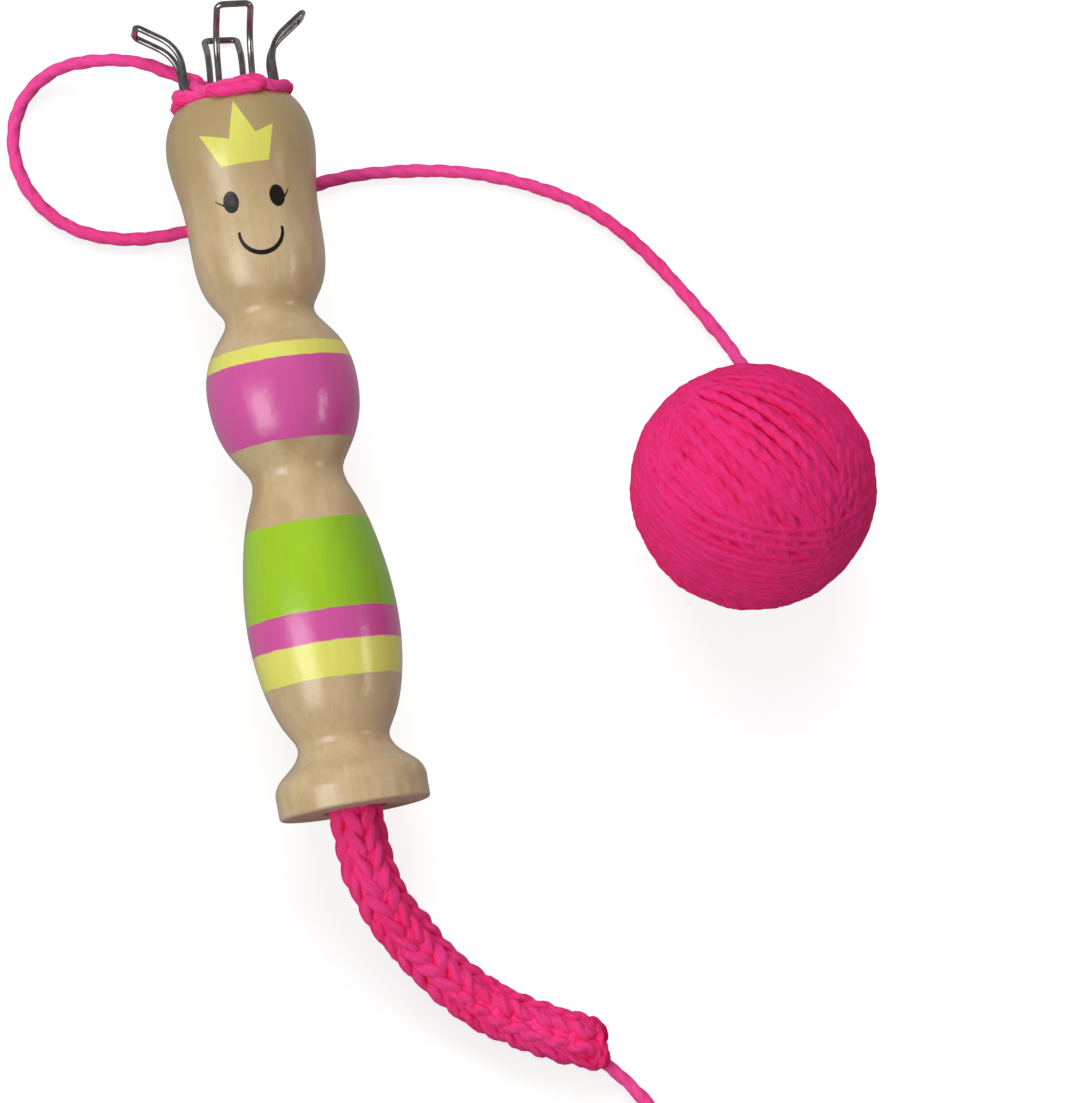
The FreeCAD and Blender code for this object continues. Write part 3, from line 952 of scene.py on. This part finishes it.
# The newest round's line: degrees round the crown from the face, and millimetres out from the axis and above
# the foot.
NEWEST_ROUND = (
    (-138, 6.2, 135.9), (-118, 5.8, 135.5), (-98, 5.9, 135.3), (-80, 6.1, 135.2), (-62, 6.9, 134.5),
    (-48, 7.8, 133.6), (-36, 8.6, 132.8), (-24, 9.6, 132.4), (-12, 10.2, 132.4), (2, 10.1, 132.5),
    (15, 10.1, 132.7), (26, 10.3, 133.0), (33, 10.9, 132.3), (40, 11.1, 131.5), (52, 10.9, 131.3),
    (66, 10.4, 131.7), (80, 10.2, 132.3), (98, 9.9, 132.6), (118, 10.2, 132.8), (134, 9.3, 132.9),
    (150, 9.1, 132.9), (166, 10.3, 133.0), (180, 10.0, 133.1), (196, 10.0, 133.3), (210, 10.3, 133.4),
    (226, 9.1, 133.6), (244, 9.2, 133.8), (257, 10.2, 133.9), (271, 9.7, 133.9), (285, 9.7, 133.6),
    (299, 10.1, 132.9), (312, 9.3, 132.2), (322, 8.0, 131.9), (330, 6.4, 131.5),
)
# One leg of a stitch: millimetres to the side of its wire loop, out from the axis and above the foot. The
# stitch on the front loop bulges further out than the others.
STITCH_LEG = ((1.3, 3.6, 127.5), (1.9, 4.2, 130.2), (3.2, 5.4, 131.6), (4.6, 6.9, 131.8), (4.9, 8.6, 131.9))
FRONT_STITCH_END = ((4.5, 10.2, 131.8), (2.8, 11.2, 131.2))
STITCH_END = ((4.1, 9.9, 131.9), (1.6, 10.1, 131.9))


def crown_strand(yarn, name, route, ends, uneven):
    """A yarn pulled tight on the crown."""
    line = route_line(route, CROWN_STEPS)
    radius, turn = yarn.radius * 0.92, yarn.turn * 0.7
    return yarn_tube(name, line, radius, yarn.plies, 18, turn, 0.3, ends, uneven=uneven)


class KNITTINGDOLL_OT_crown_stitches(bpy.types.Operator):
    """Live stitches round the wire loops, and the newest round of yarn laid over them"""

    bl_idname = "knitting_doll.crown_stitches"
    bl_label = "Crown stitches"

    def execute(self, context):
        yarn = context.scene.knitting_doll_yarn
        # Painted light: the newest round's strand is a paler copy of the yarn's colour.
        loose = yarn_material(yarn, "Loose Yarn With Painted Light", yarn.loose)
        material = yarn_material(yarn, "Stitch Yarn", yarn.colour)
        deep = yarn_material(yarn, "Yarn With Painted Depth Shade", yarn.depths)
        for side, (angle, lean) in WIRE_LOOPS.items():
            shift = math.tan(math.radians(lean)) * 2.0
            leg = STITCH_LEG + (FRONT_STITCH_END if side == "front" else STITCH_END)
            up = [crown_point(angle, out, shift - across, height) for across, out, height in leg]
            down = [crown_point(angle, out, shift + across, height + 0.1) for across, out, height in leg]
            mesh = crown_strand(yarn, f"{side}_stitch_loop", up + down[::-1], (0.6, 0.6), 0.14)
            piece(f"{side}_stitch_loop", mesh, [material], "yarn", f"{side}_stitch")

        route = [crown_point(angle, out, 0, height) for angle, out, height in NEWEST_ROUND]
        strand = crown_strand(yarn, "newest_round_strand", route, (0.5, 0.6), 0.16)
        # The round under the newest one bulges out between the wire loops; it is coloured all over with
        # painted shade.
        route = []
        for i in range(24):
            bulge = max(0.0, math.cos(math.radians(60 * i))) ** 2
            route.append(crown_point(53 + 15 * i, 6.4 + 2.9 * bulge, 0, 132.3 - 0.1 * bulge))
        line = route_line(route, 10, closed=True)
        ring = yarn_tube(
            "newest_round_ring", line, yarn.radius, yarn.plies, 16, yarn.turn * 0.9, 0.24, closed=True,
            uneven=0.1)
        mesh = joined("newest_round", [strand, ring], (0, 1))
        piece("newest_round", mesh, [loose, deep], "yarn", "last_round")
        return {"FINISHED"}


# ---------------------------------------------------------------- turned body and wire

# The painted bands, each from its lower to its upper edge in millimetres above the foot, and their soft edge.
YELLOW_BANDS = ((23.05, 29.6), (81.2, 84.2))
MAGENTA_BANDS = ((29.45, 35.25), (66.7, 81.35))
GREEN_BAND = ((35.2, 51.9),)
BAND_EDGE = 0.22
# The painted crown, in millimetres: the height of its foot, its turn round the head, half its width at the
# foot and how that grows upwards, and how far its middle line stands aside and leans.
CROWN_FOOT = 117.2
CROWN_TURN = math.radians(-1.8)
CROWN_HALF_WIDTH, CROWN_FLARE = 4.35, 0.37
CROWN_ASIDE, CROWN_LEAN = 0.15, 0.09
# Its outer points rise from the valleys beside the middle one, which falls away from its own leaning line.
VALLEY_ASIDE, VALLEY_HEIGHT, OUTER_SLOPE = 2.5, 122.2, 0.3556
MIDDLE_TOP, MIDDLE_SLOPE, MIDDLE_LEAN, MIDDLE_CROSSING = 129.0, -2.72, 0.10, 128.0
# The face, in millimetres: its turn round the head, each eye's middle and half sizes, where the lashes start,
# how long and thick they are, how much they bend, and their slopes on the two sides in degrees.
FACE_TURN = math.radians(-5.25)
EYE_ASIDE, EYE_HEIGHT, EYE_HALF_WIDTH, EYE_HALF_HEIGHT = 4.2, 110.75, 1.4, 2.0
LASH_ASIDE, LASH_HEIGHT, LASH_LENGTH, LASH_THICKNESS, LASH_BEND = 5.35, 110.35, 1.95, 0.20, 0.10
LASH_SLOPES = (-26, -44)
# The smile: the middle of its arc and the arc's radius, how thick the stroke is, and how high its ends come.
SMILE_MIDDLE, SMILE_RADIUS = (0.2, 104.7, 0), 3.9
SMILE_STROKE, SMILE_THICKENING, SMILE_ENDS = 0.25, 0.045, 105.1
# The heart of the tree, in millimetres beside and behind the doll's axis.
GROWTH_HEART = (9.0, 0.0, -16.0)


def streaks(places, across, along, detail=2.0, roughness=0.5, distortion=0.0):
    """Clouds drawn out along an object or round it, so many to its unit across it and along it."""
    return cloud(stretched(places, across, along, across), 1.0, detail, roughness, distortion)


def beech_grain(doll):
    """The patterns of the wood that its colour, its relief and its varnish share."""
    long_lines = streaks(doll, 0.9, 0.045, 4.0, 0.55, 0.6)
    fine_lines = streaks(doll, 4.5, 0.16, 3.0, 0.6)
    return SimpleNamespace(
        long_lines=long_lines,
        fine_lines=fine_lines,
        lines=calc("MULTIPLY_ADD", fine_lines, 0.3, calc("MULTIPLY", long_lines, 0.95)),
        lathe_marks=streaks(doll, 0.10, 1.5, 3.0, 0.6),
        blotches=streaks(doll, 0.12, 0.05),
        flecks=spread(streaks(doll, 3.2, 0.75, 2.0, 0.4), 0.66, 0.74, 0.0, 0.55),
    )


def beech_colour(settings, doll, height, grain, end_face):
    """Grain, lathe marks, patches, flecks, painted shade that darkens the head, pin knots, and growth rings
    on the end faces.
    """
    dark = rgba(settings.wood_dark)
    pins = node("ShaderNodeTexVoronoi", {"Vector": doll, "Scale": 0.16}).outputs["Distance"]
    wood = rgba(settings.wood)
    # Each pattern, the range in which it comes in, how strong it gets, and its colour.
    for pattern, low, high, strength, tint in (
        (grain.lines, 0.42, 0.86, 0.34, dark),
        (grain.lathe_marks, 0.50, 0.72, 0.10, dark),
        (streaks(doll, 0.34, 0.2, 3.0, 0.6), 0.50, 0.70, 0.42, (0.50, 0.345, 0.15, 1)),
        (grain.blotches, 0.46, 0.74, 0.85, (0.44, 0.29, 0.12, 1)),
        (streaks(doll, 0.07, 0.04, 1.0), 0.45, 0.70, 0.40, (0.55, 0.36, 0.22, 1)),
        (grain.flecks, 0.0, 1.0, 0.60, dark),
        # Painted shade: the wood darkens towards the top of the head.
        (height, 105.0, 126.0, 0.95, (0.43, 0.315, 0.145, 1)),
        (below(pins, 0.035, 0.03), 0.0, 1.0, 0.75, (0.16, 0.10, 0.05, 1)),
    ):
        wood = mixed(spread(pattern, low, high, 0.0, strength), wood, tint)
    from_heart = distance_from(stretched(doll, 1, 0, 1), GROWTH_HEART)
    rings = calc("SINE", calc("MULTIPLY_ADD", from_heart, 3.2, calc("MULTIPLY", grain.long_lines, 6.0)))
    end_wood = mixed(spread(rings, -1.0, 1.0, 0.0, 0.6), (0.60, 0.42, 0.33, 1), (0.50, 0.33, 0.24, 1))
    return mixed(end_face, wood, end_wood)


def brushed_heights(doll, sideways, height):
    """Heights that waver a little, as the edges of bands painted by brush do."""
    wander = calc("SUBTRACT", streaks(doll, 0.28, 0.1), 0.5)
    ripple = calc("SUBTRACT", streaks(doll, 0.8, 0.3, 1.0), 0.5)
    wavering = calc("MULTIPLY_ADD", wander, 0.65, calc("MULTIPLY_ADD", ripple, 0.06, height))
    return calc("MULTIPLY_ADD", sideways, 0.02, wavering)


def painted_bands(heights, edges):
    return most(*(between(heights, low, high, BAND_EDGE) for low, high in edges))


def painted_crown(doll, height, facing):
    """A crown with two slanting sides, two outer points and a taller middle point."""
    across = parts_of(turned(doll, (0, 1, 0), CROWN_TURN))[0]
    aside = calc("MULTIPLY_ADD", height, CROWN_LEAN, -CROWN_LEAN * CROWN_FOOT - CROWN_ASIDE)
    wide = calc("ABSOLUTE", calc("ADD", across, aside))
    middle_aside = calc("MULTIPLY_ADD", height, MIDDLE_LEAN, -MIDDLE_LEAN * MIDDLE_CROSSING)
    leaning = calc("ABSOLUTE", calc("ADD", across, middle_aside))
    half_width = calc("MULTIPLY_ADD", height, CROWN_FLARE, CROWN_HALF_WIDTH - CROWN_FLARE * CROWN_FOOT)
    outer_top = calc("MULTIPLY_ADD", wide, OUTER_SLOPE, VALLEY_HEIGHT - OUTER_SLOPE * VALLEY_ASIDE)
    outer = calc("SUBTRACT", outer_top, height)
    middle = calc("SUBTRACT", calc("MULTIPLY_ADD", leaning, MIDDLE_SLOPE, MIDDLE_TOP), height)
    inside = calc("MINIMUM", calc("SUBTRACT", half_width, wide), most(outer, calc("MULTIPLY", middle, 0.4)))
    inside = calc("MINIMUM", inside, calc("SUBTRACT", height, CROWN_FOOT))
    return calc("MULTIPLY", below(calc("MULTIPLY", inside, -1.0), 0.0, 0.16), facing)


def painted_face(doll, height, facing):
    """Two oval eyes, a curved lash outside each, and a smile."""
    across = parts_of(turned(doll, (0, 1, 0), FACE_TURN))[0]
    flat = node("ShaderNodeCombineXYZ", {0: calc("ABSOLUTE", across), 1: height}).outputs[0]
    eye = stretched(flat, 1 / EYE_HALF_WIDTH, 1 / EYE_HALF_HEIGHT, 0)
    eyes = below(distance_from(eye, (EYE_ASIDE / EYE_HALF_WIDTH, EYE_HEIGHT / EYE_HALF_HEIGHT, 0)), 1.0, 0.08)

    slope = spread(across, -1.0, 1.0, *map(math.radians, LASH_SLOPES))
    lash = parts_of(turned(flat, (0, 0, 1), slope, (LASH_ASIDE, LASH_HEIGHT, 0)))
    from_root = calc("SUBTRACT", lash[0], LASH_ASIDE)
    bend = calc("MULTIPLY", calc("POWER", calc("MAXIMUM", from_root, 0.0), 2.0), LASH_BEND)
    off_line = calc("ABSOLUTE", calc("SUBTRACT", calc("SUBTRACT", lash[1], LASH_HEIGHT), bend))
    thin = calc("MULTIPLY_ADD", from_root, -0.065, LASH_THICKNESS)
    lashes = calc("MULTIPLY", below(off_line, thin, 0.08), between(from_root, -0.2, LASH_LENGTH, 0.1))

    level = node("ShaderNodeCombineXYZ", {0: across, 1: height}).outputs[0]
    off_arc = calc("ABSOLUTE", calc("SUBTRACT", distance_from(level, SMILE_MIDDLE), SMILE_RADIUS))
    lower = calc("SUBTRACT", 104.9, height)
    stroke = below(off_arc, calc("MULTIPLY_ADD", lower, SMILE_THICKENING, SMILE_STROKE), 0.1)
    smile = calc("MULTIPLY", stroke, below(height, SMILE_ENDS, 0.15))
    return calc("MULTIPLY", most(eyes, lashes, smile), facing)


def body_material(settings):
    """Varnished beech with painted bands, a crown and a face."""
    material, tree, shader = new_material(
        "Painted Varnished Beech", Coat_Weight=1.0, Coat_Roughness=0.19, Coat_IOR=1.5, Specular_IOR_Level=0.1)
    inputs = {
        "Vector": object_places(tree), "Location": FOOT_CENTRE * MM, "Rotation": (TILT, 0, 0),
        "Scale": (MM, MM, MM)}
    doll = node("ShaderNodeMapping", inputs, vector_type="TEXTURE").outputs[0]
    sideways, height, upwards = parts_of(doll)
    facing = below(2.0, upwards, 0.2)
    end_face = most(below(height, 0.25, 0.3), below(WOOD_LENGTH - 0.2, height, 0.3))
    grain = beech_grain(doll)

    heights = brushed_heights(doll, sideways, height)
    yellow = painted_bands(heights, YELLOW_BANDS)
    magenta = painted_bands(heights, MAGENTA_BANDS)
    green = painted_bands(heights, GREEN_BAND)
    crown = painted_crown(doll, height, facing)
    face = painted_face(doll, height, facing)
    covered_wood = most(yellow, magenta, green, crown, face)

    uneven_paint = calc("MULTIPLY_ADD", grain.long_lines, 0.5, calc("MULTIPLY", grain.blotches, 0.5))
    tone = grey(spread(uneven_paint, 0.3, 0.7, 0.93, 1.05))
    # Painted shade: the green darkens towards the side away from the left softboxes.
    green_with_painted_shade = mixed(spread(sideways, 1.0, 9.0, 0.0, 0.55), rgba(settings.green), (0.15, 0.46, 0.02, 1))
    colour = beech_colour(settings, doll, height, grain, end_face)
    for mask, paint in (
        (yellow, rgba(settings.yellow)), (magenta, rgba(settings.magenta)), (green, green_with_painted_shade),
        (crown, rgba(settings.yellow))
    ):
        colour = mixed(calc("MULTIPLY", mask, 0.97), colour, mixed(1.0, paint, tone, "MULTIPLY"))
    feed(mixed(face, colour, rgba(settings.face)), shader["Base Color"])

    rough = mixed(covered_wood, spread(grain.lines, 0.3, 0.8, 0.34, 0.46), (0.36, 0.36, 0.36, 1))
    feed(mixed(end_face, rough, (0.75, 0.75, 0.75, 1)), shader["Roughness"])
    varnished = calc("SUBTRACT", 1.0, end_face)
    feed(calc("SUBTRACT", varnished, calc("MULTIPLY", face, 0.6)), shader["Coat Weight"])
    surface = calc("MULTIPLY_ADD", grain.lathe_marks, 0.8, calc("MULTIPLY", grain.fine_lines, 0.3))
    surface = calc("MULTIPLY_ADD", covered_wood, 0.35, calc("MULTIPLY_ADD", grain.flecks, -0.5, surface))
    emboss(surface, 0.00004, 0.6, shader["Normal"])
    through_varnish = calc("MULTIPLY", surface, spread(covered_wood, 0.0, 1.0, 0.35, 0.1))
    film = calc("ADD", streaks(doll, 0.45, 0.3, 2.0, 0.6), through_varnish)
    emboss(film, 0.00011, 1.0, shader["Coat Normal"])
    return material


class KNITTINGDOLL_OT_turned_body(bpy.types.Operator):
    """Paint and varnish on the turned wooden body"""

    bl_idname = "knitting_doll.turned_body"
    bl_label = "Turned body"

    def execute(self, context):
        body = frame["nodes"]["turned_body"]
        body.data.materials.clear()
        body.data.materials.append(body_material(context.scene.knitting_doll_wood))
        return {"FINISHED"}


class KNITTINGDOLL_OT_wire_loops(bpy.types.Operator):
    """Bright drawn-steel finish on the four wire loops"""

    bl_idname = "knitting_doll.wire_loops"
    bl_label = "Wire loops"

    def execute(self, context):
        material, tree, shader = new_material("Drawn Steel Wire", Metallic=1.0)
        place = object_places(tree)
        drawn = streaks(place, 3000, 260, 3.0)
        patches = spread(cloud(place, WIRE_PATCHES, 3.0), 0.35, 0.65, 0.0, 1.0)
        feed(mixed(patches, (0.25, 0.237, 0.232, 1), (0.42, 0.40, 0.393, 1)), shader["Base Color"])
        feed(spread(drawn, 0.3, 0.7, 0.14, 0.26), shader["Roughness"])
        emboss(drawn, 0.00001, 0.35, shader["Normal"])
        for side in WIRE_LOOPS:
            loop = frame["nodes"][f"{side}_wire_loop"]
            loop.data.materials.clear()
            loop.data.materials.append(material)
        return {"FINISHED"}


# ---------------------------------------------------------------- panel and registration

OPERATORS = (
    KNITTINGDOLL_OT_stage,
    KNITTINGDOLL_OT_yarn_ball,
    KNITTINGDOLL_OT_working_yarn,
    KNITTINGDOLL_OT_knitted_cord,
    KNITTINGDOLL_OT_cast_on_tail,
    KNITTINGDOLL_OT_crown_stitches,
    KNITTINGDOLL_OT_turned_body,
    KNITTINGDOLL_OT_wire_loops,
)
SETTINGS = {
    "knitting_doll_wood": KnittingDollWood,
    "knitting_doll_yarn": KnittingDollYarn,
    "knitting_doll_knit": KnittingDollKnit,
    "knitting_doll_ball": KnittingDollBall,
    "knitting_doll_stage": KnittingDollStage,
}


class KNITTINGDOLL_PT_panel(bpy.types.Panel):
    """Shows the doll's settings and a button for each of its operators"""

    bl_idname = "KNITTINGDOLL_PT_panel"
    bl_label = "Knitting Doll"
    bl_space_type = "VIEW_3D"
    bl_region_type = "UI"
    bl_category = "Knitting Doll"

    def draw(self, context):
        for group in SETTINGS:
            box = self.layout.box()
            settings = getattr(context.scene, group)
            for key in settings.__annotations__:
                box.prop(settings, key)
        for operator in OPERATORS:
            self.layout.operator(operator.bl_idname)


def register():
    for cls in (*SETTINGS.values(), *OPERATORS, KNITTINGDOLL_PT_panel):
        bpy.utils.register_class(cls)
    for group, cls in SETTINGS.items():
        setattr(bpy.types.Scene, group, PointerProperty(type=cls))


def unregister():
    for group in SETTINGS:
        delattr(bpy.types.Scene, group)
    for cls in reversed((*SETTINGS.values(), *OPERATORS, KNITTINGDOLL_PT_panel)):
        bpy.utils.unregister_class(cls)


def main():
    register()
    bpy.ops.knitting_doll.stage()
    bpy.ops.knitting_doll.yarn_ball()
    bpy.ops.knitting_doll.working_yarn()
    bpy.ops.knitting_doll.knitted_cord()
    bpy.ops.knitting_doll.cast_on_tail()
    bpy.ops.knitting_doll.crown_stitches()
    bpy.ops.knitting_doll.turned_body()
    bpy.ops.knitting_doll.wire_loops()


if __name__ == "__main__":
    main()
